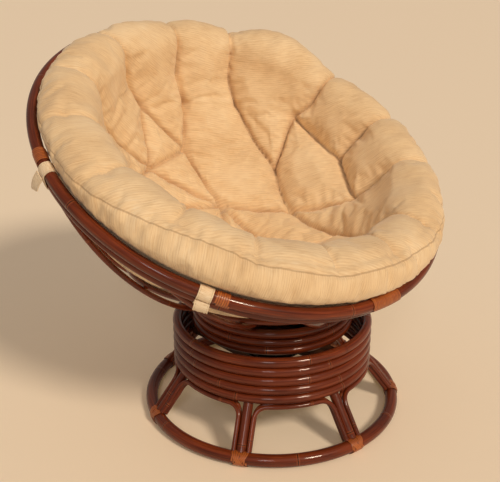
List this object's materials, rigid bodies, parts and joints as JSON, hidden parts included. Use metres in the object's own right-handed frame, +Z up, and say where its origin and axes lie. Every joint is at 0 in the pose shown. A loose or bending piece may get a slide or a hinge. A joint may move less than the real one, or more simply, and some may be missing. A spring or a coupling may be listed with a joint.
{
  "type": "bowl chair",
  "caption": "Round tilting rattan bowl seat with a tufted cushion, on a collar that rocks and swivels over a drum of stacked rings with splayed legs and a floor ring.",
  "frame": {"origin": "on the floor, under the middle of the whole chair's outline", "axes": "+Z up, -Y the way the seat faces, +X to the left hand of someone who sits in it"},
  "size_m": [1.0704, 0.9576, 0.9347],
  "materials": {
    "rattan_pole": "dark brown glossy varnish",
    "cane_strip": "varnished cane skin",
    "board_wood": "stained, matt",
    "dark_steel": "black satin paint",
    "bare_steel": "zinc plated",
    "tie_webbing": "woven cotton",
    "cushion_cloth": "slubbed woven cloth"
  },
  "bodies": {
    "base": {"floor_ring": "rattan_pole", "leg_1": "rattan_pole", "leg_2": "rattan_pole", "leg_3": "rattan_pole", "leg_4": "rattan_pole", "leg_5": "rattan_pole", "leg_6": "rattan_pole", "leg_7": "rattan_pole", "arch_1": "rattan_pole", "arch_2": "rattan_pole", "arch_3": "rattan_pole", "arch_4": "rattan_pole", "arch_5": "rattan_pole", "arch_6": "rattan_pole", "arch_7": "rattan_pole", "drum_ring_1": "rattan_pole", "drum_ring_2": "rattan_pole", "drum_ring_3": "rattan_pole", "drum_ring_4": "rattan_pole", "drum_ring_5": "rattan_pole", "foot_binding_1": "cane_strip", "foot_binding_2": "cane_strip", "foot_binding_3": "cane_strip", "foot_binding_4": "cane_strip", "foot_binding_5": "cane_strip", "foot_binding_6": "cane_strip", "foot_binding_7": "cane_strip", "base_board_left": "board_wood", "base_board_right": "board_wood", "swivel_lower_plate": "dark_steel"},
    "turntable": {"ball_race": "bare_steel", "swivel_upper_plate": "dark_steel", "king_pin": "bare_steel", "rocker_ear_left": "dark_steel", "rocker_ear_right": "dark_steel", "pivot_rod": "bare_steel", "rocker_spring_1": "bare_steel", "rocker_spring_2": "bare_steel", "rocker_spring_3": "bare_steel", "rocker_spring_4": "bare_steel"},
    "rocker": {"rocker_sleeve": "dark_steel", "rocker_plate": "dark_steel", "rocker_board_left": "board_wood", "rocker_board_right": "board_wood", "collar_ring_1": "rattan_pole", "collar_ring_2": "rattan_pole", "collar_ring_3": "rattan_pole"},
    "bowl": {"bowl_rim": "rattan_pole", "bowl_lattice": "rattan_pole", "rim_binding_front": "cane_strip", "rim_binding_side": "cane_strip", "rim_binding_rear": "cane_strip", "cushion_tie_1": "tie_webbing", "cushion_tie_2": "tie_webbing", "cushion_tie_3": "tie_webbing", "cushion_tie_4": "tie_webbing", "cushion": "cushion_cloth"}
  },
  "joints": [
    {"name": "swivel", "type": "hinge", "parent": "base", "child": "turntable", "pos_m": [0, -0.09236, 0.16], "axis": [0, 0, 1], "continuous": true},
    {"name": "rock", "type": "hinge", "parent": "turntable", "child": "rocker", "pos_m": [0, -0.09236, 0.2003], "axis": [1, 0, 0], "range_deg": [-8, 8], "stiffness_Nm_per_rad": 800, "springref_deg": 4.16, "deforming": ["rocker_spring_1", "rocker_spring_2", "rocker_spring_3", "rocker_spring_4"]},
    {"name": "bowl_tilt", "type": "hinge", "parent": "rocker", "child": "bowl", "pos_m": [0, -0.09236, 0.83348], "axis": [1, 0, 0], "range_deg": [-28, 10]}
  ]
}
